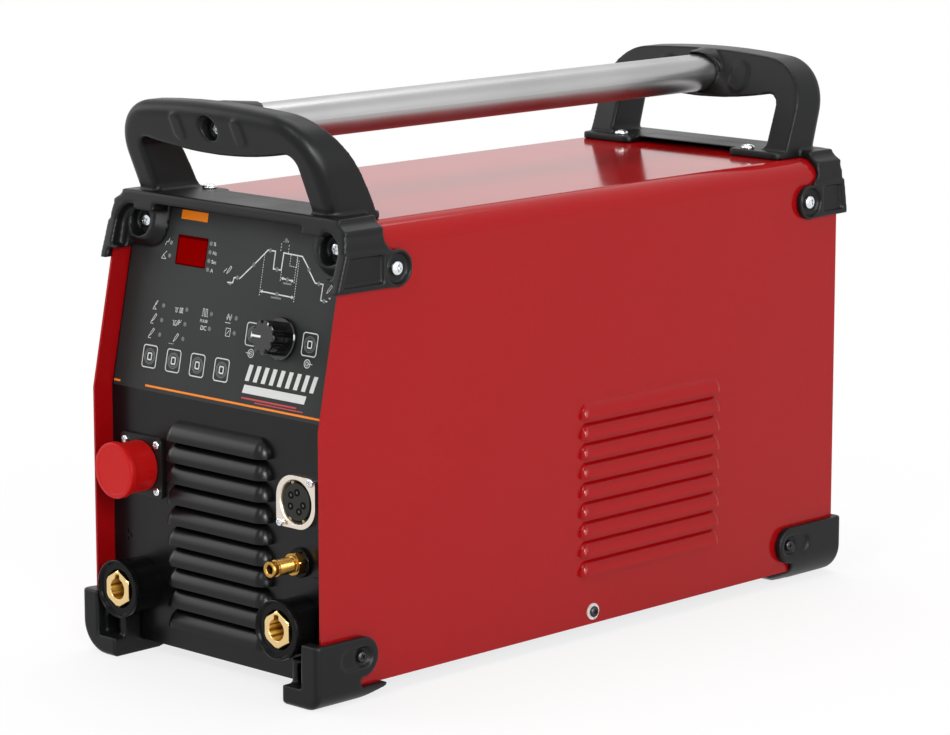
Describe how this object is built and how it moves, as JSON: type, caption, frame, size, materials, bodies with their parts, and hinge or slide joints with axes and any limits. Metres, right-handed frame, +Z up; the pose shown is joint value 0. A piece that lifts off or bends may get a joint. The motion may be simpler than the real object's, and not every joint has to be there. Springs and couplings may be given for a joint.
{
  "type": "tig welding machine",
  "caption": "Portable inverter TIG welder: red sheet cover, black front panel with keys, display and knob, keyed sockets, gas outlet, and a tube carry handle on moulded brackets.",
  "frame": {"origin": "middle of the machine's footprint, on the ground under the feet", "axes": "+X to the right seen from the front, +Y from the control panel towards the rear, +Z up"},
  "size_m": [0.2138, 0.4988, 0.3505],
  "materials": {
    "red_paint": "gloss powder coat",
    "black_paint": "satin powder coat",
    "panel_foil": "satin printed foil",
    "display_lens": "tinted display lens",
    "lamp_plastic": "unlit lamps",
    "key_plastic": "printed key caps",
    "knob_plastic": "polished black",
    "pointer_white": "white line",
    "cap_red": "soft red cap",
    "moulded_black": "fine-grained black",
    "socket_black": "smooth black",
    "connector_black": "black insert",
    "nickel": "satin nickel",
    "brass_parts": "bright brass",
    "tube_metal": "satin anodised",
    "zinc_steel": "zinc-plated",
    "dark_screws": "dark zinc-plated",
    "washer_white": "white nylon",
    "fan_black": "black",
    "guard_steel": "plated wire",
    "switch_black": "smooth black",
    "rocker_red": "red rocker",
    "gland_black": "black nylon",
    "sheet_zinc": "galvanised sheet",
    "board_green": "green board",
    "fin_aluminium": "extruded",
    "core_grey": "ferrite and winding",
    "can_black": "sleeved can",
    "bar_copper": "copper",
    "coil_black": "potted",
    "plunger_steel": "ground",
    "hose_rubber": "black hose"
  },
  "bodies": {
    "case": {"cover": "red_paint", "base_pan": "black_paint", "front_panel": "black_paint", "rear_panel": "black_paint", "control_overlay": "panel_foil", "display_window": "display_lens", "status_lamps": "lamp_plastic", "control_board": "board_green", "encoder_body": "core_grey", "remote_connector": "connector_black", "trigger_flange": "nickel", "trigger_insert": "connector_black", "gas_outlet": "brass_parts", "outlet_boss": "socket_black", "left_socket_collar": "socket_black", "right_socket_collar": "socket_black", "left_socket_insert": "brass_parts", "right_socket_insert": "brass_parts", "front_bracket": "moulded_black", "rear_bracket": "moulded_black", "carry_tube": "tube_metal", "front_left_foot": "moulded_black", "front_right_foot": "moulded_black", "rear_left_foot": "moulded_black", "rear_right_foot": "moulded_black", "bracket_screws": "zinc_steel", "case_screws": "dark_screws", "cover_washers": "washer_white", "connector_screws": "zinc_steel", "fan_screws": "dark_screws", "fan_frame": "fan_black", "fan_guard": "guard_steel", "switch_housing": "switch_black", "cord_gland": "gland_black", "gas_inlet": "brass_parts", "shelf": "sheet_zinc", "power_board": "board_green", "heat_sinks": "fin_aluminium", "transformer": "core_grey", "capacitors": "can_black", "output_choke": "core_grey", "bus_bars": "bar_copper", "igniter": "coil_black", "valve_body": "brass_parts", "valve_coil": "coil_black", "gas_hose": "hose_rubber"},
    "encoder_knob": {"encoder_shaft": "plunger_steel", "knob": "knob_plastic", "knob_pointer": "pointer_white"},
    "dust_cap_body": {"dust_cap": "cap_red"},
    "rocker": {"switch_rocker": "rocker_red"},
    "fan_wheel": {"fan_rotor": "fan_black"},
    "plunger": {"valve_plunger": "plunger_steel"},
    "key_body_1": {"key_1": "key_plastic"},
    "key_body_2": {"key_2": "key_plastic"},
    "key_body_3": {"key_3": "key_plastic"},
    "key_body_4": {"key_4": "key_plastic"},
    "key_body_5": {"key_5": "key_plastic"},
    "key_body_6": {"key_6": "key_plastic"}
  },
  "joints": [
    {"name": "encoder_spin", "type": "hinge", "parent": "case", "child": "encoder_knob", "pos_m": [0.0465, -0.22202, 0.21346], "axis": [0, -0.9799, 0.1994], "continuous": true},
    {"name": "dust_cap_pull", "type": "slide", "parent": "case", "child": "dust_cap_body", "axis": [0, -1, 0], "range_m": [0, 0.04]},
    {"name": "mains_rocker", "type": "hinge", "parent": "case", "child": "rocker", "pos_m": [-0.062, 0.22245, 0.206], "axis": [-1, 0, 0], "range_deg": [0, 14]},
    {"name": "fan_spin", "type": "hinge", "parent": "case", "child": "fan_wheel", "pos_m": [0, 0.21265, 0.076], "axis": [0, 1, 0], "continuous": true},
    {"name": "valve_lift", "type": "slide", "parent": "case", "child": "plunger", "axis": [0, 0, 1], "range_m": [0, 0.002], "stiffness_N_per_m": 250, "springref_m": -0.001},
    {"name": "key_press_1", "type": "slide", "parent": "case", "child": "key_body_1", "axis": [0, 0.9799, -0.1994], "range_m": [0, 0.0005], "stiffness_N_per_m": 800, "springref_m": -0.0002},
    {"name": "key_press_2", "type": "slide", "parent": "case", "child": "key_body_2", "axis": [0, 0.9799, -0.1994], "range_m": [0, 0.0005], "stiffness_N_per_m": 800, "springref_m": -0.0002},
    {"name": "key_press_3", "type": "slide", "parent": "case", "child": "key_body_3", "axis": [0, 0.9799, -0.1994], "range_m": [0, 0.0005], "stiffness_N_per_m": 800, "springref_m": -0.0002},
    {"name": "key_press_4", "type": "slide", "parent": "case", "child": "key_body_4", "axis": [0, 0.9799, -0.1994], "range_m": [0, 0.0005], "stiffness_N_per_m": 800, "springref_m": -0.0002},
    {"name": "key_press_5", "type": "slide", "parent": "case", "child": "key_body_5", "axis": [0, 0.9799, -0.1994], "range_m": [0, 0.0005], "stiffness_N_per_m": 800, "springref_m": -0.0002},
    {"name": "key_press_6", "type": "slide", "parent": "case", "child": "key_body_6", "axis": [0, 0.9799, -0.1994], "range_m": [0, 0.0005], "stiffness_N_per_m": 800, "springref_m": -0.0002}
  ]
}
